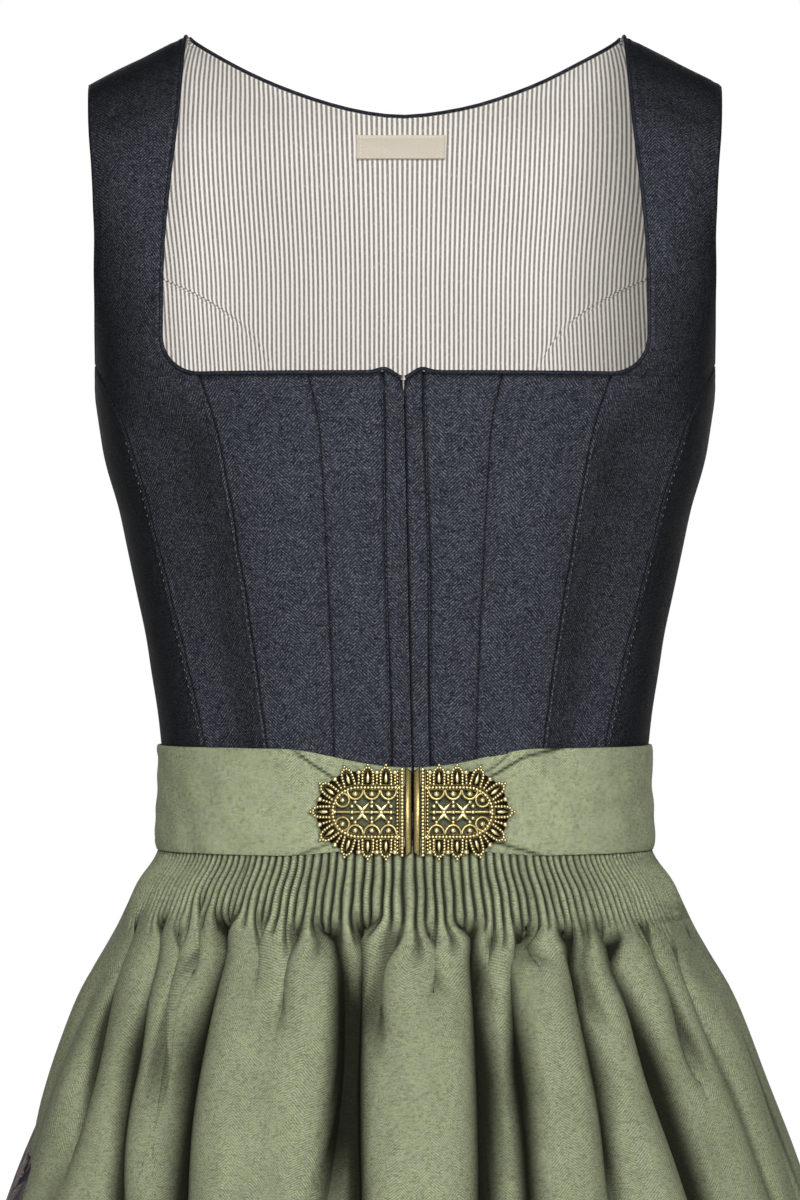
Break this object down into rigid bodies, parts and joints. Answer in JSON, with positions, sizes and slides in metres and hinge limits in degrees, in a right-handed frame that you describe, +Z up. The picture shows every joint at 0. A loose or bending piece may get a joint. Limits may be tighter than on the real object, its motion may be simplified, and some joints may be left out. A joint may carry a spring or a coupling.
{
  "type": "dirndl dress",
  "caption": "Sleeveless dirndl dress filled out as worn: square-necked dark bodice, gathered skirt, green gathered apron on a wide waistband, and a filigree clasp.",
  "frame": {"origin": "midway between the two shoulder straps, at the height of their undersides, where the wearer's shoulders carry the dress", "axes": "+Z up, the front of the dress faces -Y, +X to the right as seen from the front"},
  "size_m": [0.6572, 0.5671, 1.0999],
  "materials": {
    "bodice_twill": "matt navy-charcoal linen twill",
    "lining_ticking": "cream cotton ticking with fine grey-brown stripes",
    "label_tape": "cream woven tape, bare",
    "apron_linen": "sage green herringbone linen",
    "skirt_jacquard": "navy and dusty taupe jacquard with a soft sheen",
    "antique_brass": "antiqued cast brass filigree, dark in its recesses"
  },
  "bodies": {
    "root": {"bodice_center_front_left": "bodice_twill", "bodice_mid_front_left": "bodice_twill", "bodice_strap_front_left": "bodice_twill", "bodice_side_front_left": "bodice_twill", "bodice_side_back_left": "bodice_twill", "bodice_center_front_right": "bodice_twill", "bodice_mid_front_right": "bodice_twill", "bodice_strap_front_right": "bodice_twill", "bodice_side_front_right": "bodice_twill", "bodice_side_back_right": "bodice_twill", "bodice_center_back": "bodice_twill", "lining_center_back": "lining_ticking", "lining_side_back_left": "lining_ticking", "lining_side_back_right": "lining_ticking", "neck_label": "label_tape", "neck_piping_front_left": "bodice_twill", "neck_piping_front_right": "bodice_twill", "neck_piping_back": "bodice_twill", "skirt_front_left": "skirt_jacquard", "skirt_front_right": "skirt_jacquard", "skirt_back_left": "skirt_jacquard", "skirt_back_right": "skirt_jacquard", "apron_skirt": "apron_linen", "apron_waistband": "apron_linen", "clasp_left": "antique_brass", "clasp_right": "antique_brass"}
  },
  "joints": []
}
